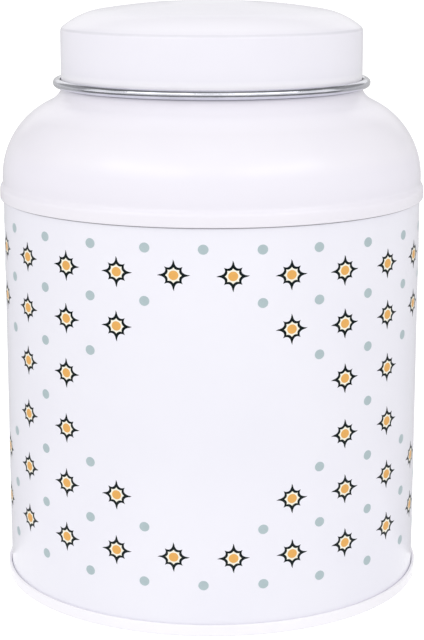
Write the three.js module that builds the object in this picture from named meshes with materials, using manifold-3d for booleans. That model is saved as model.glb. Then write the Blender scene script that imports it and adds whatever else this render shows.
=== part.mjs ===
// A tinplate kitchen canister with a slip lid: a rolled body, a pressed base, a domed shoulder with a neck,
// and a lid whose skirt ends in an outward curl. Millimetres, +Z up, the origin on the floor under the axis.
// Every piece is one sheet: its centre line is drawn in the r, z half plane, thickened and turned round Z.
import * as THREE from "three";
import { mergeVertices } from "three/addons/utils/BufferGeometryUtils.js";
import Module from "manifold-3d";

// Sheet and fits
const SHEET = 0.25; // tinplate thickness
const FOLD_GAP = 0.1; // space left between two folded layers
const HOOK_GAP = 0.3; // how far a hook stops short of the fold that it reaches into
const LID_CLEARANCE = 0.25; // between the lid's skirt and the neck, on the radius
const SEAT_GAP = 0.1; // between the neck's rim and the lid that rests on it

// Body and base
const BODY_DIAMETER = 130.2; // outside of the rolled wall
const BODY_HEIGHT = 121.4; // from the floor to the lower edge of the shoulder seam
const BASE_SEAM_HEIGHT = 3.6;
const BASE_SEAM_BEND = 0.45; // centre line radius at the seam's two lower corners
const PANEL_HEIGHT = 4.2; // from the floor to the base panel's outer ring
const PANEL_BEND = 0.8; // centre line radius where the panel turns down into the seam
const PANEL_STEP_HEIGHT = 0.8; // how far the middle of the panel is pressed up
const PANEL_STEP_WIDTH = 2.0;
const PANEL_STEP_DIAMETER = 100; // across the top of the pressed step
const LOCK_SEAM_WIDTH = 6.0; // the body's own joint, up the back
const LOCK_SEAM_LAYERS = 3; // extra layers inside the wall
const LOCK_SEAM_END_GAP = 1.0; // left free above the base panel and below the shoulder seam

// Shoulder and neck
const SHOULDER_SEAM_HEIGHT = 2.8;
const JOGGLE_HEIGHT = 2.6; // over which the shoulder steps in from its seam
const SHOULDER_LAND = 1.0; // straight stretch under the dome's arc
const SHOULDER_PROUD = 0.2; // how far the dome's widest line stands out from the wall
const DOME_RADIUS = 25.5; // of the dome's arc, outside
const NECK_DIAMETER = 92.4;
const NECK_HEIGHT = 15.3; // straight stretch between the fillet and the rim
const NECK_FILLET = 7.0; // outside radius where the dome turns up into the neck
const RIM_RADIUS = 1.0; // centre line radius of the neck's inward roll
const RIM_TURN = 250; // degrees that the roll turns through

// Lid
const SKIRT_HEIGHT = 15.5; // from the curl's centre to the bend under the crown
const CREASE_RADIUS = 2.0; // centre line radius of that bend
const CREASE_ANGLE = 51; // degrees that it turns through
const CROWN_KNUCKLE = 24; // outside radius of the crown's edge
const CROWN_ANGLE = 9; // degrees of slope where the edge runs into the top
const CURL_RADIUS = 1.25; // centre line radius of the outward curl
const CURL_TURN = 305; // degrees that the curl turns through

// Facets
const SEGMENTS = 44; // round the axis, alike on every piece so that nested facets stay parallel
const FOLD_STEPS = 4; // in half a turn of a folded edge
const BEND_STEPS = 3;
const DOME_STEPS = 7;
const FILLET_STEPS = 6;
const ROLL_STEPS = 6;
const CURL_STEPS = 9;
const SAME_POINT = 1e-6; // two points of a centre line nearer than this are one

const HALF_SHEET = SHEET / 2;
const LAYER = SHEET + FOLD_GAP; // from one folded layer's centre line to the next
const FOLD_REACH = LAYER + HALF_SHEET; // from a fold's centre to its outer surface

const wasm = await Module();
wasm.setup();

const at = (r, z) => new THREE.Vector2(r, z);
const radians = THREE.MathUtils.degToRad;

// Points of an arc in the r, z plane, its angles in degrees from +r towards +z.
function arc(centre, radius, from, to, steps) {
  return Array.from({ length: steps + 1 }, (_, i) => {
    const angle = radians(from + ((to - from) * i) / steps);
    return at(centre.x + radius * Math.cos(angle), centre.y + radius * Math.sin(angle));
  });
}

// The sideways step that moves a point of the centre line onto the sheet's right-hand surface.
function rightOffset(path, i) {
  const before = path[Math.max(i - 1, 0)];
  const after = path[Math.min(i + 1, path.length - 1)];
  const into = path[i].clone().sub(before).normalize();
  const out = after.clone().sub(path[i]).normalize();
  const along = into.clone().add(out).normalize();
  const half = Math.max(along.dot(into), along.dot(out));
  const offset = at(along.y, -along.x).multiplyScalar(HALF_SHEET / half);
  return path[i].x === 0 ? at(0, offset.y) : offset;
}

// The closed outline of a sheet that follows a centre line: out along one surface, back along the other.
function sheetOutline(path) {
  const offsets = path.map((_, i) => rightOffset(path, i));
  const right = path.map((point, i) => point.clone().add(offsets[i]));
  const left = path.map((point, i) => point.clone().sub(offsets[i]));
  const outline = [...right, ...left.reverse()];
  return path[0].x === 0 ? outline : [...outline, outline[0].clone()];
}

// A sheet's centre line without repeated points, turned round Z with a flat facet at the front and back.
function turned(path) {
  const line = path.filter((point, i) => i === 0 || point.distanceTo(path[i - 1]) > SAME_POINT);
  const geometry = new THREE.LatheGeometry(sheetOutline(line), SEGMENTS, Math.PI / SEGMENTS);
  return geometry.rotateX(Math.PI / 2);
}

function solidOf(geometry) {
  geometry.deleteAttribute("normal");
  geometry.deleteAttribute("uv");
  const merged = mergeVertices(geometry);
  return new wasm.Manifold(
    new wasm.Mesh({
      numProp: 3,
      vertProperties: merged.attributes.position.array,
      triVerts: new Uint32Array(merged.index.array),
    }),
  );
}

function geometryOf(solid) {
  const mesh = solid.getMesh();
  const geometry = new THREE.BufferGeometry();
  geometry.setAttribute("position", new THREE.BufferAttribute(mesh.vertProperties, 3));
  geometry.setIndex(new THREE.BufferAttribute(mesh.triVerts, 1));
  geometry.computeVertexNormals();
  return geometry;
}

// Centre line radii of the folded layers, counted outwards from the body wall.
const wallRadius = BODY_DIAMETER / 2 - HALF_SHEET;
const layerRadius = (count) => wallRadius + count * LAYER;

// Heights of the folds' centres
const baseFold = SHEET + FOLD_GAP + FOLD_REACH; // where the wall turns out, just above the base seam's floor
const baseFoldTop = BASE_SEAM_HEIGHT - FOLD_REACH; // where the base's rim turns in over the wall's hook
const shoulderFold = BODY_HEIGHT + FOLD_REACH; // where the shoulder's edge turns in under the wall's hook
const wallFold = BODY_HEIGHT + SHOULDER_SEAM_HEIGHT - FOLD_REACH; // where the wall turns out inside the shoulder

function bodyWall() {
  const wall = turned([
    at(layerRadius(2), baseFoldTop - HOOK_GAP),
    ...arc(at(layerRadius(1), baseFold), LAYER, 0, -180, FOLD_STEPS),
    ...arc(at(layerRadius(1), wallFold), LAYER, 180, 0, FOLD_STEPS),
    at(layerRadius(2), shoulderFold + HOOK_GAP),
  ]);
  const depth = LOCK_SEAM_LAYERS * SHEET + HALF_SHEET;
  const bottom = PANEL_HEIGHT + HALF_SHEET + LOCK_SEAM_END_GAP;
  const top = BODY_HEIGHT - LOCK_SEAM_END_GAP;
  const facetRadius = wallRadius * Math.cos(Math.PI / SEGMENTS);
  const lockSeam = new THREE.BoxGeometry(LOCK_SEAM_WIDTH, depth, top - bottom);
  lockSeam.translate(0, facetRadius - depth / 2, (top + bottom) / 2);
  return geometryOf(solidOf(wall).add(solidOf(lockSeam)));
}

function baseEnd() {
  const stepTop = PANEL_STEP_DIAMETER / 2;
  const chuckWall = layerRadius(-1);
  const rim = layerRadius(3);
  const corner = HALF_SHEET + BASE_SEAM_BEND;
  return turned([
    at(0, PANEL_HEIGHT + PANEL_STEP_HEIGHT),
    at(stepTop, PANEL_HEIGHT + PANEL_STEP_HEIGHT),
    at(stepTop + PANEL_STEP_WIDTH, PANEL_HEIGHT),
    ...arc(at(chuckWall - PANEL_BEND, PANEL_HEIGHT - PANEL_BEND), PANEL_BEND, 90, 0, BEND_STEPS),
    ...arc(at(chuckWall + BASE_SEAM_BEND, corner), BASE_SEAM_BEND, 180, 270, BEND_STEPS),
    ...arc(at(rim - BASE_SEAM_BEND, corner), BASE_SEAM_BEND, 270, 360, BEND_STEPS),
    ...arc(at(layerRadius(2), baseFoldTop), LAYER, 0, 180, FOLD_STEPS),
    at(layerRadius(1), baseFold + HOOK_GAP),
  ]);
}

// The shoulder's dome and the fillet that turns it up into the neck, tangent to each other.
const neckRadius = NECK_DIAMETER / 2;
const domeWidest = BODY_DIAMETER / 2 + SHOULDER_PROUD;
const joggleBottom = BODY_HEIGHT + SHOULDER_SEAM_HEIGHT;
const domeCentre = at(domeWidest - DOME_RADIUS, joggleBottom + JOGGLE_HEIGHT + SHOULDER_LAND);
const filletAcross = neckRadius + NECK_FILLET - domeCentre.x;
const filletRise = Math.sqrt((DOME_RADIUS + NECK_FILLET) ** 2 - filletAcross ** 2);
const filletCentre = at(neckRadius + NECK_FILLET, domeCentre.y + filletRise);
const domeEnd = THREE.MathUtils.radToDeg(Math.atan2(filletRise, filletAcross));
const rimCentre = at(neckRadius - HALF_SHEET - RIM_RADIUS, filletCentre.y + NECK_HEIGHT);

// Two equal arcs that step the shoulder in from its seam to the foot of its dome.
function joggle(from, to) {
  const turn = 2 * Math.atan2(from.x - to.x, to.y - from.y);
  const radius = (to.y - from.y) / (2 * Math.sin(turn));
  const degrees = THREE.MathUtils.radToDeg(turn);
  return [
    ...arc(at(from.x - radius, from.y), radius, 0, degrees, BEND_STEPS - 1),
    ...arc(at(to.x + radius, to.y), radius, 180 + degrees, 180, BEND_STEPS - 1),
  ];
}

function shoulderDome() {
  const foot = at(domeWidest - HALF_SHEET, joggleBottom + JOGGLE_HEIGHT);
  return turned([
    at(layerRadius(1), wallFold - HOOK_GAP),
    ...arc(at(layerRadius(2), shoulderFold), LAYER, 180, 360, FOLD_STEPS),
    ...joggle(at(layerRadius(3), joggleBottom), foot),
    ...arc(domeCentre, DOME_RADIUS - HALF_SHEET, 0, domeEnd, DOME_STEPS),
    ...arc(filletCentre, NECK_FILLET + HALF_SHEET, 180 + domeEnd, 180, FILLET_STEPS),
    ...arc(rimCentre, RIM_RADIUS, 0, RIM_TURN, ROLL_STEPS),
  ]);
}

// The lid drops until the bend under its crown lands on the neck's rolled rim.
function lidShell() {
  const skirt = neckRadius + LID_CLEARANCE + HALF_SHEET;
  const room = CREASE_RADIUS - RIM_RADIUS - SHEET;
  const rimAbove = Math.sqrt((room - SEAT_GAP) ** 2 - (room - LID_CLEARANCE) ** 2);
  const creaseCentre = at(skirt - CREASE_RADIUS, rimCentre.y - rimAbove);
  const curlCentre = at(skirt + CURL_RADIUS, creaseCentre.y - SKIRT_HEIGHT);

  // Angles of the centre lines' normals: the crease ends where the crown's edge begins.
  const edgeStart = CREASE_ANGLE;
  const edgeEnd = 90 - CROWN_ANGLE;
  const edgeRadius = CROWN_KNUCKLE - HALF_SHEET;
  const inward = edgeRadius - CREASE_RADIUS;
  const edgeCentre = at(
    creaseCentre.x - inward * Math.cos(radians(edgeStart)),
    creaseCentre.y - inward * Math.sin(radians(edgeStart)),
  );
  const topStart = edgeCentre.x + edgeRadius * Math.cos(radians(edgeEnd));
  const topRadius = topStart / Math.sin(radians(CROWN_ANGLE));
  const topCentre = at(0, edgeCentre.y - (topRadius - edgeRadius) * Math.cos(radians(CROWN_ANGLE)));
  const top = arc(topCentre, topRadius, 90, edgeEnd, BEND_STEPS);
  top[0].setX(0);
  return turned([
    ...top,
    ...arc(edgeCentre, edgeRadius, edgeEnd, edgeStart, BEND_STEPS + 1),
    ...arc(creaseCentre, CREASE_RADIUS, edgeStart, 0, BEND_STEPS),
    ...arc(curlCentre, CURL_RADIUS, 180, 180 + CURL_TURN, CURL_STEPS),
  ]);
}

// White lacquer over the outside of every sheet
function lacquer(color) {
  return new THREE.MeshStandardMaterial({ color, roughness: 0.35, metalness: 0.0 });
}

function piece(name, geometry, material) {
  const mesh = new THREE.Mesh(geometry, material);
  mesh.name = name;
  return mesh;
}

const canister = new THREE.Group();
canister.add(piece("base_end", baseEnd(), lacquer(0xf1f0f6)));
canister.add(piece("body_wall", bodyWall(), lacquer(0xf3f2f8)));
canister.add(piece("shoulder_dome", shoulderDome(), lacquer(0xf3f2f8)));
canister.add(piece("lid_shell", lidShell(), lacquer(0xf3f2f8)));

export default canister;
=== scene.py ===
"""Looks of a tinplate kitchen canister.

White lacquer outside, bare tin inside and on the lid's curled rim, and a printed lattice of stars and dots.
"""
import math

import bmesh
import bpy
from mathutils import Euler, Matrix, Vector


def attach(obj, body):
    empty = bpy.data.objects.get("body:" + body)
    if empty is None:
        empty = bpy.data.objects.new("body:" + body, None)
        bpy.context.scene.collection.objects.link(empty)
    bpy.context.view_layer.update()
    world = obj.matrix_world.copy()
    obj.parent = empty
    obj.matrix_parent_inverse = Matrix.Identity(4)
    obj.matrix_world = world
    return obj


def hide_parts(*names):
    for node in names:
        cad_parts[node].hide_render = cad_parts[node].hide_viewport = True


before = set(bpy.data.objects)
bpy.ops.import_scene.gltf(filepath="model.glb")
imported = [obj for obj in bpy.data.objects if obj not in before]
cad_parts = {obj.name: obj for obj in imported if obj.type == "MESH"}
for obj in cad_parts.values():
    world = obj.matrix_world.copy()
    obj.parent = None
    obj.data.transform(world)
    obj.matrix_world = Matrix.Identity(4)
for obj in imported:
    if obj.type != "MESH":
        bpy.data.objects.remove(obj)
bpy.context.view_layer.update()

# Profiles are drawn in millimetres and degrees, in the CAD model's frame. Blender's unit is the metre.
MM = 0.001

# Sheet and folds
SHEET = 0.25
HALF_SHEET = SHEET / 2
FOLD_GAP = 0.1
HOOK_GAP = 0.3
LAYER = SHEET + FOLD_GAP
FOLD_REACH = LAYER + HALF_SHEET

# Body and base
BODY_RADIUS = 65.1
BODY_HEIGHT = 121.4
BASE_SEAM_HEIGHT = 3.6
BASE_SEAM_BEND = 0.45
PANEL_HEIGHT = 4.2
PANEL_BEND = 0.8
PANEL_STEP_HEIGHT = 0.8
PANEL_STEP_WIDTH = 2.0
PANEL_STEP_RADIUS = 50.0
LOCK_SEAM_WIDTH = 6.0
LOCK_SEAM_DEPTH = 3 * SHEET
LOCK_SEAM_END_GAP = 1.0
LOCK_SEAM_SLOPE = 0.1
LOCK_LINE_WIDTH = 0.9
LOCK_LINE_DEPTH = 0.16

# Shoulder and neck
SHOULDER_SEAM_HEIGHT = 2.8
JOGGLE_HEIGHT = 2.6
SHOULDER_LAND = 1.0
SHOULDER_PROUD = 0.2
DOME_RADIUS = 25.5
NECK_RADIUS = 46.2
NECK_HEIGHT = 15.3
NECK_FILLET = 7.0
RIM_RADIUS = 1.0
RIM_TURN = 250

# Lid
LID_CLEARANCE = 0.25
SEAT_GAP = 0.1
SKIRT_HEIGHT = 15.5
CREASE_RADIUS = 2.0
CREASE_ANGLE = 51
CROWN_KNUCKLE = 24
CROWN_ANGLE = 9
CURL_RADIUS = 1.25
CURL_TURN = 305

# Print: a lattice of stars with dots between them, left clear in four diamonds round the body
COLUMNS = 24
DIAMOND_PERIOD = 6
DIAMOND_REACH = 3
STAR_OUTER = ((4.7, 0.13), (2.85, 0.2), (1.68, 1.0), (2.58, 2.58))
STAR_INNER = ((2.34, 0.0), (1.95, 0.29), (1.42, 0.78), (1.66, 1.66))
CENTRE_RADIUS = 1.4
DOT_RADIUS = 1.48
MOTIF_STRETCH = (1.02, 0.97)
INK_TOP = 0.02
INK_BOTTOM = -0.02

# The front's drift, with turns in degrees and heights in millimetres
FRONT_COLUMNS = 4.5
FRONT_ROWS = 2.5
DIAMOND_TURN = -2.09
DIAMOND_HEIGHT = 66.66
COLUMN_SPREAD = (68.2, 6.54)
COLUMN_FAN = 1.27
ROW_SPREAD = (42.67, -0.87, -0.80)
ROW_TILT = -0.81
ROW_BOW = (0.61, -1.46)
STRETCH_FADE = 6

# Fineness of the meshes, with the steps of arcs in degrees
SEGMENTS = 256
BROAD_STEP = 2.5
FINE_STEP = 6
EDGE_STEP = 10
FOLD_STEP = 15
CROWN_STEPS = 12
PANEL_STEPS = 12
LOCK_LINE_STEPS = 4
CURVE_STEPS = 8
DISC_STEPS = 8 * CURVE_STEPS
DISC_RINGS = (0.15, 0.6, 1)
SAME_POINT = 1e-6
SAME_ANGLE_DIGITS = 9
SHARP_ANGLE = 40

# Finishes: a texture is its size and its detail. Sizes and depths of relief are in millimetres.
NOISE_RANGE = (0.3, 0.7)

# Lacquer
CLOUDS = (38, 4.0)
GLOSS_PATCHES = (14, 3.0)
SHEET_WAVES = (30, 1.0)
SHEET_WAVE_DEPTH = 0.02
ORANGE_PEEL = (1.1, 1.0)
ORANGE_PEEL_DEPTH = 0.0012
LACQUER_ROUGHNESS = (0.20, 0.26)
LACQUER_SPECULAR = 0.2

# Bare tin, with its colours as screen values
DRAWING_LINES = (0.16, 2.0)
DRAWING_LINE_DEPTH = 0.0007
TIN_PATCHES = (9, 3.0)
FINE_GRAIN = (0.5, 2.0)
TIN_GRAIN_DEPTH = 0.0006
METRES_PER_RADIAN = 0.004
TIN_COLOUR = (222, 223, 231)
TIN_SHADE = (208, 209, 218)

# Ink
INK_SPECKS = (0.35, 2.0)
INK_DRIFT = (6, 2.0)
INK_DENSITY = (0.1, 0.4)
INK_GRAIN_DEPTH = 0.0008
INK_ROUGHNESS = (0.32, 0.42)
INK_SPECULAR = 0.15

# Stage, light and camera, in metres. The pitch is in radians, the lens and sensor in millimetres.
FLOOR_REACH = 6.0
FLOOR_ALBEDO = 0.9
FLOOR_GLOW = 0.055
SHOWN_ALBEDO = 0.3
SHOWN_GLOW = 0.97
AMBIENT = 0.75
LIGHT_AIM = (0, 0, 0.11)
CARD_STEPS = 24
CEILING_HEIGHT = 1.5
CEILING_FRONT = -0.75
CEILING_BACK = 1.7
CEILING_SIDE = 2.2
CEILING_GLOW = 0.22
CAMERA_PLACE = (0.0001, -0.5628, 0.20395)
CAMERA_PITCH = 0.2154
CAMERA_LENS = 101.34
SENSOR_WIDTH = 36.0


# Profiles in the r, z half plane

def arc(centre, radius, start, end, step=FINE_STEP):
    """Points of an arc, its angles in degrees from +r towards +z."""
    steps = max(2, math.ceil(abs(end - start) / step))
    angles = [math.radians(start + (end - start) * i / steps) for i in range(steps + 1)]
    return [(centre[0] + radius * math.cos(a), centre[1] + radius * math.sin(a)) for a in angles]


def without_repeats(path):
    kept = [path[0]]
    for point in path[1:]:
        if math.dist(point, kept[-1]) > SAME_POINT:
            kept.append(point)
    return kept


def sheet_sides(path):
    """The two surfaces of a sheet that follows a centre line: its right side and its left side."""
    right, left = [], []
    for i, point in enumerate(path):
        here = Vector(point)
        into = (here - Vector(path[max(i - 1, 0)])).normalized()
        out = (Vector(path[min(i + 1, len(path) - 1)]) - here).normalized()
        along = (into + out).normalized()
        offset = Vector((along.y, -along.x)) * HALF_SHEET / max(along.dot(into), along.dot(out))
        if point[0] == 0:
            offset.x = 0
        right.append(tuple(here + offset))
        left.append(tuple(here - offset))
    return right, left


def layer_radius(count):
    """Centre line radius of a folded layer, counted outwards from the body wall."""
    return BODY_RADIUS - HALF_SHEET + count * LAYER


BASE_FOLD = SHEET + FOLD_GAP + FOLD_REACH
BASE_FOLD_TOP = BASE_SEAM_HEIGHT - FOLD_REACH
SHOULDER_FOLD = BODY_HEIGHT + FOLD_REACH
WALL_FOLD = BODY_HEIGHT + SHOULDER_SEAM_HEIGHT - FOLD_REACH
LOCK_SEAM_FOOT = PANEL_HEIGHT + HALF_SHEET + LOCK_SEAM_END_GAP
LOCK_SEAM_HEAD = BODY_HEIGHT - LOCK_SEAM_END_GAP


def body_path():
    wall = layer_radius(0)
    seam_foot = (LOCK_SEAM_FOOT, LOCK_SEAM_FOOT + LOCK_SEAM_SLOPE)
    seam_head = (LOCK_SEAM_HEAD - LOCK_SEAM_SLOPE, LOCK_SEAM_HEAD)
    return [
        (layer_radius(2), BASE_FOLD_TOP - HOOK_GAP),
        *arc((layer_radius(1), BASE_FOLD), LAYER, 0, -180, FOLD_STEP),
        *[(wall, height) for height in seam_foot + seam_head],
        *arc((layer_radius(1), WALL_FOLD), LAYER, 180, 0, FOLD_STEP),
        (layer_radius(2), SHOULDER_FOLD + HOOK_GAP),
    ]


def step_down(start, top, width, drop):
    """A soft pressed step: half a cosine wave from the top down to the lower level."""
    shares = [i / PANEL_STEPS for i in range(PANEL_STEPS + 1)]
    return [(start + width * s, top - drop * (1 - math.cos(math.pi * s)) / 2) for s in shares]


def base_path():
    chuck_wall = layer_radius(-1)
    rim = layer_radius(3)
    corner = HALF_SHEET + BASE_SEAM_BEND
    panel_top = PANEL_HEIGHT + PANEL_STEP_HEIGHT
    return [
        (0, panel_top),
        (PANEL_STEP_RADIUS - PANEL_STEP_WIDTH, panel_top),
        *step_down(PANEL_STEP_RADIUS, panel_top, PANEL_STEP_WIDTH, PANEL_STEP_HEIGHT),
        *arc((chuck_wall - PANEL_BEND, PANEL_HEIGHT - PANEL_BEND), PANEL_BEND, 90, 0, FOLD_STEP),
        *arc((chuck_wall + BASE_SEAM_BEND, corner), BASE_SEAM_BEND, 180, 270, FOLD_STEP),
        *arc((rim - BASE_SEAM_BEND, corner), BASE_SEAM_BEND, 270, 360, FOLD_STEP),
        *arc((layer_radius(2), BASE_FOLD_TOP), LAYER, 0, 180, FOLD_STEP),
        (layer_radius(1), BASE_FOLD + HOOK_GAP),
    ]


DOME_WIDEST = BODY_RADIUS + SHOULDER_PROUD
JOGGLE_FOOT = BODY_HEIGHT + SHOULDER_SEAM_HEIGHT
JOGGLE_HEAD = JOGGLE_FOOT + JOGGLE_HEIGHT
DOME_CENTRE = (DOME_WIDEST - DOME_RADIUS, JOGGLE_HEAD + SHOULDER_LAND)
FILLET_ACROSS = NECK_RADIUS + NECK_FILLET - DOME_CENTRE[0]
FILLET_RISE = math.sqrt((DOME_RADIUS + NECK_FILLET) ** 2 - FILLET_ACROSS ** 2)
FILLET_CENTRE = (NECK_RADIUS + NECK_FILLET, DOME_CENTRE[1] + FILLET_RISE)
DOME_END = math.degrees(math.atan2(FILLET_RISE, FILLET_ACROSS))
RIM_CENTRE = (NECK_RADIUS - HALF_SHEET - RIM_RADIUS, FILLET_CENTRE[1] + NECK_HEIGHT)


def joggle(start, end):
    """Two equal arcs that step the shoulder in from its seam to the foot of its dome."""
    turn = 2 * math.atan2(start[0] - end[0], end[1] - start[1])
    radius = (end[1] - start[1]) / (2 * math.sin(turn))
    degrees = math.degrees(turn)
    return [
        *arc((start[0] - radius, start[1]), radius, 0, degrees),
        *arc((end[0] + radius, end[1]), radius, 180 + degrees, 180),
    ]


def shoulder_path():
    foot = (DOME_WIDEST - HALF_SHEET, JOGGLE_HEAD)
    return [
        (layer_radius(1), WALL_FOLD - HOOK_GAP),
        *arc((layer_radius(2), SHOULDER_FOLD), LAYER, 180, 360, FOLD_STEP),
        *joggle((layer_radius(3), JOGGLE_FOOT), foot),
        *arc(DOME_CENTRE, DOME_RADIUS - HALF_SHEET, 0, DOME_END, BROAD_STEP),
        *arc(FILLET_CENTRE, NECK_FILLET + HALF_SHEET, 180 + DOME_END, 180),
        *arc(RIM_CENTRE, RIM_RADIUS, 0, RIM_TURN, EDGE_STEP),
    ]


def lid_path():
    skirt = NECK_RADIUS + LID_CLEARANCE + HALF_SHEET
    room = CREASE_RADIUS - RIM_RADIUS - SHEET
    rim_above = math.sqrt((room - SEAT_GAP) ** 2 - (room - LID_CLEARANCE) ** 2)
    crease = (skirt - CREASE_RADIUS, RIM_CENTRE[1] - rim_above)
    curl = (skirt + CURL_RADIUS, crease[1] - SKIRT_HEIGHT)
    edge_end = 90 - CROWN_ANGLE
    edge_radius = CROWN_KNUCKLE - HALF_SHEET
    inward = edge_radius - CREASE_RADIUS
    slope = math.radians(CREASE_ANGLE)
    edge = (crease[0] - inward * math.cos(slope), crease[1] - inward * math.sin(slope))
    top_start = edge[0] + edge_radius * math.cos(math.radians(edge_end))
    top_radius = top_start / math.sin(math.radians(CROWN_ANGLE))
    top = (0, edge[1] - (top_radius - edge_radius) * math.cos(math.radians(CROWN_ANGLE)))
    crown = arc(top, top_radius, 90, edge_end, CROWN_ANGLE / CROWN_STEPS)
    crown[0] = (0, crown[0][1])
    return [
        *crown,
        *arc(edge, edge_radius, edge_end, CREASE_ANGLE, BROAD_STEP),
        *arc(crease, CREASE_RADIUS, CREASE_ANGLE, 0),
        *arc(curl, CURL_RADIUS, 180, 180 + CURL_TURN, EDGE_STEP),
    ]


# Meshes

def link(piece):
    bpy.context.scene.collection.objects.link(piece)
    return piece


def finish_mesh(name, corners, faces, materials, indices=None):
    mesh = bpy.data.meshes.new(name)
    mesh.from_pydata([Vector(corner) * MM for corner in corners], [], faces)
    for material in materials:
        mesh.materials.append(material)
    if indices:
        mesh.polygons.foreach_set("material_index", indices)
    work = bmesh.new()
    work.from_mesh(mesh)
    bmesh.ops.recalc_face_normals(work, faces=work.faces)
    work.to_mesh(mesh)
    work.free()
    mesh.shade_smooth()
    mesh.set_sharp_from_angle(angle=math.radians(SHARP_ANGLE))
    return link(bpy.data.objects.new(name, mesh))


def even_angles():
    return [2 * math.pi * i / SEGMENTS for i in range(SEGMENTS)]


def seamed_angles():
    """Even steps round the body, with extra ones where the lock seam changes the wall at the back."""
    edge = LOCK_SEAM_WIDTH / 2
    line = LOCK_LINE_WIDTH / 2
    across = [line * i / LOCK_LINE_STEPS for i in range(LOCK_LINE_STEPS + 1)]
    across += [edge - LOCK_SEAM_SLOPE, edge]
    extra = [math.pi + side * x / BODY_RADIUS for x in across for side in (-1, 1)]
    return sorted({round(a, SAME_ANGLE_DIGITS) for a in even_angles() + extra})


def lock_seam_offset(angle, height, outside):
    """How far the lock seam moves a point of the body wall along the radius, in millimetres."""
    across = abs(angle - math.pi) * BODY_RADIUS
    if outside:
        share = min(across / (LOCK_LINE_WIDTH / 2), 1)
        return -LOCK_LINE_DEPTH * (1 + math.cos(math.pi * share)) / 2
    in_height = LOCK_SEAM_FOOT < height < LOCK_SEAM_HEAD
    in_width = across < LOCK_SEAM_WIDTH / 2 - LOCK_SEAM_SLOPE / 2
    return -LOCK_SEAM_DEPTH if in_height and in_width else 0


def turn_sheet(name, path, outer_side, outer, inner, angles=None, offset=None):
    """Turns a sheet round Z. Its outer side gets one material, its inner side and cut edges the other."""
    angles = angles or even_angles()
    right, left = sheet_sides(without_repeats(path))
    profile = [(point, outer_side == "right") for point in right]
    profile += [(point, outer_side == "left") for point in reversed(left)]
    corners, rows = [], []
    for (r, z), outside in profile:
        if r == 0:
            rows.append([len(corners)] * len(angles))
            corners.append((0, 0, z))
            continue
        rows.append(range(len(corners), len(corners) + len(angles)))
        for angle in angles:
            reach = r + (offset(angle, z, outside) if offset else 0)
            corners.append((reach * math.sin(angle), -reach * math.cos(angle), z))
    faces, indices = [], []
    closed = path[0][0] != 0
    for i in range(len(rows) if closed else len(rows) - 1):
        low, high = rows[i], rows[(i + 1) % len(rows)]
        shown = profile[i][1] and profile[(i + 1) % len(rows)][1]
        for k in range(len(angles)):
            after = (k + 1) % len(angles)
            face = [low[k], low[after], high[after], high[k]]
            faces.append(list(dict.fromkeys(face)))
            indices.append(0 if shown else 1)
    return finish_mesh(name, corners, faces, [outer, inner], indices)


# Print

def bezier(points, share):
    rest = 1 - share
    weights = (rest ** 3, 3 * rest ** 2 * share, 3 * rest * share ** 2, share ** 3)
    return tuple(sum(w * p[axis] for w, p in zip(weights, points)) for axis in (0, 1))


def star_loop(section):
    """A closed star outline from one section, an eighth of it, by mirroring and turning."""
    one_way = [bezier(section, i / CURVE_STEPS) for i in range(CURVE_STEPS)]
    back = [bezier(section, 1 - i / CURVE_STEPS) for i in range(CURVE_STEPS)]
    quarter = one_way + [(y, x) for x, y in back]
    loop = []
    for cosine, sine in ((1, 0), (0, 1), (-1, 0), (0, -1)):
        loop += [(cosine * x - sine * y, sine * x + cosine * y) for x, y in quarter]
    return loop


def disc_loop(radius):
    angles = [2 * math.pi * i / DISC_STEPS for i in range(DISC_STEPS)]
    return [(radius * math.cos(a), radius * math.sin(a)) for a in angles]


def disc_loops(radius):
    loop = disc_loop(radius)
    return [[(x * share, y * share) for x, y in loop] for share in DISC_RINGS]


def lay_ink(corners, faces, loops, place, hollow):
    """Adds one motif as a closed film on the body, from loops that go outwards. A hollow one is a ring."""
    turn, height, stretch = place
    count = len(loops[0])
    first = len(corners)
    for lift in (INK_TOP, INK_BOTTOM):
        reach = BODY_RADIUS + lift
        for loop in loops:
            for x, y in loop:
                angle = turn + x * MOTIF_STRETCH[0] * stretch / BODY_RADIUS
                rise = height + y * MOTIF_STRETCH[1]
                corners.append((reach * math.sin(angle), -reach * math.cos(angle), rise))

    def ring(lower, row):
        start = first + (lower * len(loops) + row) * count
        return range(start, start + count)

    def join(a, b):
        for k in range(count):
            after = (k + 1) % count
            faces.append((a[k], b[k], b[after], a[after]))

    for row in range(len(loops) - 1):
        join(ring(0, row), ring(0, row + 1))
        join(ring(1, row + 1), ring(1, row))
    join(ring(0, len(loops) - 1), ring(1, len(loops) - 1))
    if hollow:
        join(ring(1, 0), ring(0, 0))
    else:
        faces.append(tuple(ring(0, 0)))
        faces.append(tuple(reversed(ring(1, 0))))


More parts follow.
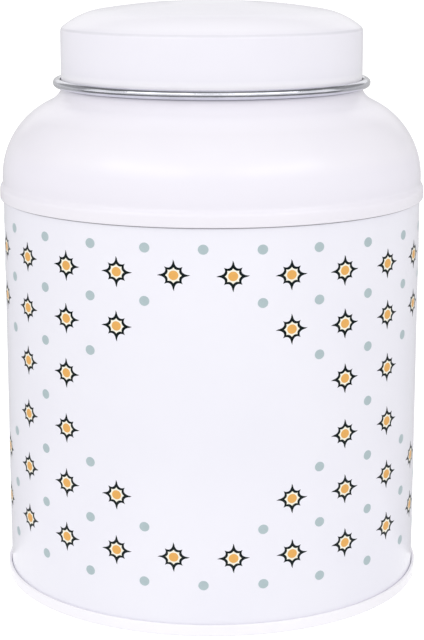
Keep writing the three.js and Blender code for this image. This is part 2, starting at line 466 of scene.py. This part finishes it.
def print_place(across, row):
    """Turn, height and widening of a place in the lattice, in columns and rows from the front's centre.

    The print drifts as it does in the photo: its columns spread towards the sides and fan out a little
    downwards, and its rows sag to one side. Motifs widen as the columns spread. Past the front columns the
    spacing is even, and the drift dies away.
    """
    beside = max(-1, min(1, across / FRONT_COLUMNS))
    rise = row / FRONT_ROWS
    half = COLUMNS / 2
    past = max(0, abs(across) - FRONT_COLUMNS) / (half - FRONT_COLUMNS)
    turn = COLUMN_SPREAD[0] * beside + COLUMN_SPREAD[1] * beside ** 3 - COLUMN_FAN * rise * beside
    turn += (math.copysign(180, across) - turn) * past
    # The slope of the spread here, over its slope at the centre, is one more than this
    widening = 3 * COLUMN_SPREAD[1] / COLUMN_SPREAD[0] * beside ** 2
    stretch = 1 + widening * (1 - past) ** STRETCH_FADE
    lean = beside * (1 - past)
    height = sum(share * rise ** power for power, share in enumerate((DIAMOND_HEIGHT, *ROW_SPREAD)))
    height += ROW_TILT * lean + (ROW_BOW[0] + ROW_BOW[1] * rise) * lean ** 2
    return math.radians(DIAMOND_TURN + turn), height, stretch


def lattice(half_step):
    """The printed places: stars half a step off the diamonds' centres, dots on whole steps."""
    shift = 0.5 if half_step else 0.0
    last_row = DIAMOND_REACH - 1 if half_step else DIAMOND_REACH
    rows = [row + shift for row in range(-DIAMOND_REACH, last_row + 1)]
    half = DIAMOND_PERIOD / 2
    for column in range(COLUMNS):
        across = column + shift - COLUMNS // 2
        from_centre = abs((across + half) % DIAMOND_PERIOD - half)
        for row in rows:
            if from_centre + abs(row) >= DIAMOND_REACH:
                yield print_place(across, row)


def print_motifs(name, loops, half_step, material, hollow=False):
    corners, faces = [], []
    for place in lattice(half_step):
        lay_ink(corners, faces, loops, place, hollow)
    return finish_mesh(name, corners, faces, [material])


# Materials

def linear(colour):
    """A colour given as screen values of 0 to 255, in the linear form that shaders use."""
    def one(value):
        share = value / 255
        return share / 12.92 if share <= 0.04045 else ((share + 0.055) / 1.055) ** 2.4
    return (*map(one, colour), 1.0)


class Surface:
    """A material's node tree, with short ways to add the textures that the finishes here are made of."""

    def __init__(self, name):
        self.material = bpy.data.materials.new(name)
        self.material.use_nodes = True
        self.tree = self.material.node_tree
        self.shader = self.tree.nodes["Principled BSDF"]
        self.place = self.node("ShaderNodeTexCoord").outputs["Object"]

    def node(self, kind, **inputs):
        made = self.tree.nodes.new(kind)
        for name, value in inputs.items():
            self.set(made.inputs[name], value)
        return made

    def set(self, socket, value):
        if isinstance(value, bpy.types.NodeSocket):
            self.tree.links.new(value, socket)
        else:
            socket.default_value = value

    def finish(self, name, value):
        """Sets one input of the material's shader."""
        self.set(self.shader.inputs[name], value)

    def noise(self, texture, place=None):
        """Soft noise of a texture: the size of its features in millimetres, and its detail."""
        size, detail = texture
        scale = 1 / (size * MM)
        made = self.node("ShaderNodeTexNoise", Vector=place or self.place, Scale=scale, Detail=detail)
        return made.outputs["Fac"]

    def spread(self, value, low, high, start=NOISE_RANGE[0], end=NOISE_RANGE[1]):
        """Maps a value from one range, which is the usual one of noise, to another."""
        made = self.node("ShaderNodeMapRange", Value=value)
        for name, number in (("From Min", start), ("From Max", end), ("To Min", low), ("To Max", high)):
            made.inputs[name].default_value = number
        return made.outputs["Result"]

    def maths(self, operation, a, b=0.0):
        made = self.tree.nodes.new("ShaderNodeMath")
        made.operation = operation
        self.set(made.inputs[0], a)
        self.set(made.inputs[1], b)
        return made.outputs["Value"]

    def blend(self, share, first, second):
        made = self.tree.nodes.new("ShaderNodeMix")
        made.data_type = "RGBA"
        self.set(made.inputs["Factor"], share)
        self.set(made.inputs["A"], first)
        self.set(made.inputs["B"], second)
        return made.outputs["Result"]

    def bump(self, height, depth, below=None):
        """Relief of a depth in millimetres, laid over another relief if there is one."""
        made = self.node("ShaderNodeBump", Height=height, Distance=depth * MM)
        if below:
            self.set(made.inputs["Normal"], below)
        return made.outputs["Normal"]

    def near_height(self, height, reach):
        """One within half a reach of a height, falling to zero at the whole reach, in millimetres."""
        split = self.node("ShaderNodeSeparateXYZ", Vector=self.place)
        away = self.maths("ABSOLUTE", self.maths("SUBTRACT", split.outputs["Z"], height * MM))
        return self.spread(away, 1, 0, reach * MM / 2, reach * MM)

    def around(self):
        """Coordinates that change slowly along the turning direction, so streaks follow the circle."""
        split = self.node("ShaderNodeSeparateXYZ", Vector=self.place)
        x, y, z = (split.outputs[axis] for axis in "XYZ")
        squares = self.maths("ADD", self.maths("MULTIPLY", x, x), self.maths("MULTIPLY", y, y))
        radius = self.maths("SQRT", squares)
        along = self.maths("MULTIPLY", self.maths("ARCTAN2", x, y), METRES_PER_RADIAN)
        return self.node("ShaderNodeCombineXYZ", X=radius, Y=along, Z=z).outputs["Vector"]


def lacquer(name, colour, shade, bands=()):
    """Satin gloss lacquer: orange peel, a slow unevenness of the sheet, faint clouding, and bands of painted
    light and shade.
    """
    surface = Surface(name)
    clouds = surface.spread(surface.noise(CLOUDS), 0, 1)
    tone = surface.blend(clouds, linear(colour), linear(shade))
    for height, reach, tint in bands:
        tone = surface.blend(surface.near_height(height, reach), tone, linear(tint))
    surface.finish("Base Color", tone)
    surface.finish("Roughness", surface.spread(surface.noise(GLOSS_PATCHES), *LACQUER_ROUGHNESS))
    surface.finish("Specular IOR Level", LACQUER_SPECULAR)
    waves = surface.bump(surface.noise(SHEET_WAVES), SHEET_WAVE_DEPTH)
    surface.finish("Normal", surface.bump(surface.noise(ORANGE_PEEL), ORANGE_PEEL_DEPTH, waves))
    return surface.material


def bare_tin(name, roughness, metallic):
    """Tinplate: fine drawing lines round the axis over a faint grain, slightly dulled in patches."""
    surface = Surface(name)
    lines = surface.noise(DRAWING_LINES, surface.around())
    patches = surface.spread(surface.noise(TIN_PATCHES), 0, 1)
    surface.finish("Base Color", surface.blend(patches, linear(TIN_COLOUR), linear(TIN_SHADE)))
    surface.finish("Metallic", metallic)
    surface.finish("Roughness", surface.spread(lines, *roughness))
    grain = surface.bump(surface.noise(FINE_GRAIN), TIN_GRAIN_DEPTH)
    surface.finish("Normal", surface.bump(lines, DRAWING_LINE_DEPTH, grain))
    return surface.material


def ink(name, colour, shade):
    """Printing ink: its density varies a little, in fine specks and slow drifts."""
    surface = Surface(name)
    density = surface.maths("MULTIPLY", surface.noise(INK_SPECKS), surface.noise(INK_DRIFT))
    thinness = surface.spread(density, 0, 1, *INK_DENSITY)
    surface.finish("Base Color", surface.blend(thinness, linear(colour), linear(shade)))
    surface.finish("Roughness", surface.spread(surface.noise(GLOSS_PATCHES), *INK_ROUGHNESS))
    surface.finish("Specular IOR Level", INK_SPECULAR)
    surface.finish("Normal", surface.bump(surface.noise(FINE_GRAIN), INK_GRAIN_DEPTH))
    return surface.material


# Bands of the lacquer: a height and a reach in millimetres, and a colour as screen values.
# They are painted shade and painted light: dark lines of painted shade in the folds, the white lifted
# by painted light where curves shade it, and the dome's foot darkened by painted shade.
CURL_FOOT = min(z for r, z in lid_path()) - HALF_SHEET
CREASE_LINE = CURL_FOOT + HALF_SHEET + CURL_RADIUS + SKIRT_HEIGHT + CREASE_RADIUS / 2
# Painted shade: a dark line on the body just under the shoulder's seam, where the hem shades the wall.
SEAM_PAINTED_SHADE = (BODY_HEIGHT, 0.4, (120, 118, 124))
# Painted shade: a dark line on the shoulder where the lid's curled rim sits over it and shades it.
SEAT_PAINTED_SHADE = (CURL_FOOT, 0.5, (170, 168, 180))
# Painted shade: a faint dark line along the lid's crease, laid over the highlight that the bend catches.
CREASE_PAINTED_SHADE = (CREASE_LINE, 0.45, (230, 228, 236))
# Painted light: the shoulder's fillet under the lid's rim is whiter, against the shade the rim casts there.
FILLET_PAINTED_LIGHT = (CURL_FOOT - 0.9, 8, (250, 247, 255))
# Painted light: the skirt's foot just above the curled rim is whiter, against the rim's shade.
SKIRT_FOOT_PAINTED_LIGHT = (CURL_FOOT + 2.1, 3, (250, 248, 254))
# Painted light: the crown's knuckle is whiter, against the darker shading the lamps give it.
CROWN_PAINTED_LIGHT = (CREASE_LINE + 3, 3, (247, 245, 252))
# Painted shade: the dome's foot is darker, to even out the stronger light it gets from the lamps.
DOME_FOOT_PAINTED_SHADE = (JOGGLE_HEAD + 4, 7, (239, 236, 245))
SHOULDER_BANDS = (DOME_FOOT_PAINTED_SHADE, FILLET_PAINTED_LIGHT, SEAT_PAINTED_SHADE)
LID_BANDS = (CROWN_PAINTED_LIGHT, SKIRT_FOOT_PAINTED_LIGHT, CREASE_PAINTED_SHADE)
BODY_BANDS = (SEAM_PAINTED_SHADE,)

# Painted light and shade: the lid's white is a touch darker and the base's lighter, to even out how the lamps
# light each piece.
shoulder_white = lacquer("white_lacquer", (243, 240, 247), (240, 237, 245), SHOULDER_BANDS)
lid_white = lacquer("lid_lacquer", (241, 239, 247), (238, 236, 245), LID_BANDS)
printed_white = lacquer("printed_lacquer", (243, 242, 250), (240, 239, 248), BODY_BANDS)
base_white = lacquer("base_lacquer", (252, 250, 255), (249, 247, 252))
bright_tin = bare_tin("bright_tin", roughness=(0.10, 0.22), metallic=1.0)
satin_tin = bare_tin("satin_tin", roughness=(0.30, 0.42), metallic=0.5)
outline_ink = ink("outline_ink", (8, 20, 22), (14, 28, 30))
ground_ink = ink("ground_ink", (248, 244, 228), (245, 241, 224))
centre_ink = ink("centre_ink", (238, 180, 97), (231, 172, 94))
dot_ink = ink("dot_ink", (176, 193, 197), (182, 198, 202))


# The object

lid = turn_sheet("lid_sheet", lid_path(), "left", lid_white, bright_tin)
shoulder = turn_sheet("shoulder_sheet", shoulder_path(), "right", shoulder_white, satin_tin)
body = turn_sheet(
    "body_sheet", body_path(), "right", printed_white, satin_tin, seamed_angles(), lock_seam_offset)
base = turn_sheet("base_sheet", base_path(), "right", base_white, satin_tin)

for piece, node, rides, slot in (
    (lid, "lid_shell", "lid", "lid_lacquer"),
    (shoulder, "shoulder_dome", "canister", "white_lacquer"),
    (body, "body_wall", "canister", "printed_lacquer"),
    (base, "base_end", "canister", "base_lacquer"),
):
    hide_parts(node)
    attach(piece, rides)

star_inside = star_loop(STAR_INNER)
star_outside = star_loop(STAR_OUTER)
outlines = print_motifs("star_outlines", [star_inside, star_outside], True, outline_ink, hollow=True)
grounds = print_motifs("star_grounds", [disc_loop(CENTRE_RADIUS), star_inside], True, ground_ink, hollow=True)
centres = print_motifs("star_centres", disc_loops(CENTRE_RADIUS), True, centre_ink)
dots = print_motifs("dots", disc_loops(DOT_RADIUS), False, dot_ink)

for piece in (outlines, grounds, centres, dots):
    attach(piece, "canister")


# Stage and light

def stage_mesh(name, corners, faces, material):
    mesh = bpy.data.meshes.new(name)
    mesh.from_pydata(corners, [], faces)
    mesh.materials.append(material)
    made = link(bpy.data.objects.new(name, mesh))
    return made


def level_panel(name, x_range, y_range, z, material):
    (left, right), (front, back) = x_range, y_range
    corners = [(left, front, z), (right, front, z), (right, back, z), (left, back, z)]
    return stage_mesh(name, corners, [(0, 1, 2, 3)], material)


def bare_tree(name):
    """A new material and its node tree, which holds only the output."""
    material = bpy.data.materials.new(name)
    material.use_nodes = True
    tree = material.node_tree
    tree.nodes.remove(tree.nodes["Principled BSDF"])
    return material, tree


def glow_output(tree, strength):
    glow = tree.nodes.new("ShaderNodeEmission")
    glow.inputs["Strength"].default_value = strength
    return glow.outputs["Emission"]


def seen_directly(tree):
    """One for the rays that see the background itself: from the camera, mirrored, or through glass."""
    path = tree.nodes.new("ShaderNodeLightPath")
    total = path.outputs["Is Camera Ray"]
    for name in ("Is Glossy Ray", "Is Transmission Ray"):
        either = tree.nodes.new("ShaderNodeMath")
        either.operation = "MAXIMUM"
        tree.links.new(total, either.inputs[0])
        tree.links.new(path.outputs[name], either.inputs[1])
        total = either.outputs["Value"]
    return total


def floor_material():
    """A white light table. Seen directly it is lifted to white, so only the object's shadow shows on it."""
    material, tree = bare_tree("floor_white")

    def glowing(albedo, strength):
        matt = tree.nodes.new("ShaderNodeBsdfDiffuse")
        matt.inputs["Color"].default_value = (albedo, albedo, albedo, 1)
        both = tree.nodes.new("ShaderNodeAddShader")
        tree.links.new(matt.outputs["BSDF"], both.inputs[0])
        tree.links.new(glow_output(tree, strength), both.inputs[1])
        return both.outputs["Shader"]

    choice = tree.nodes.new("ShaderNodeMixShader")
    tree.links.new(seen_directly(tree), choice.inputs["Fac"])
    tree.links.new(glowing(FLOOR_ALBEDO, FLOOR_GLOW), choice.inputs[1])
    tree.links.new(glowing(SHOWN_ALBEDO, SHOWN_GLOW), choice.inputs[2])
    tree.links.new(choice.outputs["Shader"], tree.nodes["Material Output"].inputs["Surface"])
    return material


def glow_material(name, strength):
    material, tree = bare_tree(name)
    tree.links.new(glow_output(tree, strength), tree.nodes["Material Output"].inputs["Surface"])
    return material


FLOOR_RANGE = (-FLOOR_REACH, FLOOR_REACH)
level_panel("floor", FLOOR_RANGE, FLOOR_RANGE, 0, floor_material())

world = bpy.data.worlds.new("studio")
bpy.context.scene.world = world
world.use_nodes = True
sky = world.node_tree
level = sky.nodes.new("ShaderNodeMapRange")
level.inputs["To Min"].default_value = AMBIENT
level.inputs["To Max"].default_value = 1.0
sky.links.new(seen_directly(sky), level.inputs["Value"])
sky.links.new(level.outputs["Result"], sky.nodes["Background"].inputs["Strength"])
sky.nodes["Background"].inputs["Color"].default_value = (1, 1, 1, 1)


def place_at(azimuth, elevation, distance):
    """A point seen from the lamps' aim at an azimuth from the front towards +X and an elevation."""
    a, e = math.radians(azimuth), math.radians(elevation)
    way = Vector((math.sin(a) * math.cos(e), -math.cos(a) * math.cos(e), math.sin(e)))
    return Vector(LIGHT_AIM) + way * distance


def softbox(name, azimuth, elevation, distance, width, height, radiance):
    """A rectangular lamp that lights the object without showing in its gloss, which mirrors the cards."""
    lamp = bpy.data.lights.new(name, "AREA")
    lamp.shape = "RECTANGLE"
    lamp.size = width
    lamp.size_y = height
    lamp.energy = math.pi * width * height * radiance
    made = link(bpy.data.objects.new(name, lamp))
    made.location = place_at(azimuth, elevation, distance)
    made.rotation_euler = (Vector(LIGHT_AIM) - made.location).to_track_quat("-Z", "Y").to_euler()
    made.visible_glossy = False


# Each lamp's name, azimuth, elevation, distance, width, height and radiance
for lamp_values in (
    ("left_softbox", -40, 28, 1.1, 1.15, 0.6, 1.03),
    ("right_softbox", 40, 28, 1.1, 1.15, 0.6, 1.0),
    ("left_fill", -95, 18, 1.2, 0.6, 0.6, 0.3),
    ("top_fill", 0, 75, 1.2, 0.6, 0.6, 0.47),
):
    softbox(*lamp_values)


def gloss_only(card):
    card.visible_camera = False
    card.visible_diffuse = False
    card.visible_transmission = False
    card.visible_shadow = False


def curved_card(name, middle, reach, radii, heights, strength):
    """A curved card that only the gloss sees, from one radius and height to another."""
    corners = []
    for i in range(CARD_STEPS + 1):
        a = math.radians(middle - reach + 2 * reach * i / CARD_STEPS)
        corners += [(r * math.sin(a), -r * math.cos(a), z) for r, z in zip(radii, heights)]
    faces = [(2 * i, 2 * i + 2, 2 * i + 3, 2 * i + 1) for i in range(CARD_STEPS)]
    gloss_only(stage_mesh(name, corners, faces, glow_material(name, strength)))


# Each card's name, middle azimuth, reach to either side, radii, heights and glow
for card_values in (
    ("room_floor", 0, 105, (0.2, 0.5), (0.002, 0.002), 0.25),
    ("room_low", 0, 105, (0.5, 0.5), (0.0, 0.1), 0.25),
    ("floor_behind", 180, 89, (0.067, 1.9), (0.0015, 0.0015), 0.55),
    ("left_back", -140, 38, (2.0, 2.0), (0.0, 0.45), 0.65),
    ("right_back", 140, 38, (2.0, 2.0), (0.0, 0.45), 0.6),
    ("left_side", -124, 24, (2.0, 2.0), (0.45, 1.45), 0.4),
    ("right_side", 124, 24, (2.0, 2.0), (0.45, 1.45), 0.35),
    ("left_gloss", -40, 27, (1.1, 1.1), (0.69, 0.95), 4.2),
    ("right_gloss", 42, 26, (1.1, 1.1), (0.69, 0.95), 4.3),
    ("centre_gloss", 1.5, 14.5, (1.1, 1.1), (0.74, 0.9), 2.6),
):
    curved_card(*card_values)

CEILING_ACROSS = (-CEILING_SIDE, CEILING_SIDE)
CEILING_ALONG = (CEILING_FRONT, CEILING_BACK)
ceiling_glow = glow_material("ceiling", CEILING_GLOW)
gloss_only(level_panel("ceiling", CEILING_ACROSS, CEILING_ALONG, CEILING_HEIGHT, ceiling_glow))


# Camera

lens = bpy.data.cameras.new("camera")
lens.lens = CAMERA_LENS
lens.sensor_width = SENSOR_WIDTH
camera = link(bpy.data.objects.new("camera", lens))
camera.location = CAMERA_PLACE
camera.rotation_euler = Euler((math.pi / 2 - CAMERA_PITCH, 0, 0))
bpy.context.scene.camera = camera
bpy.context.scene.view_settings.view_transform = "Standard"
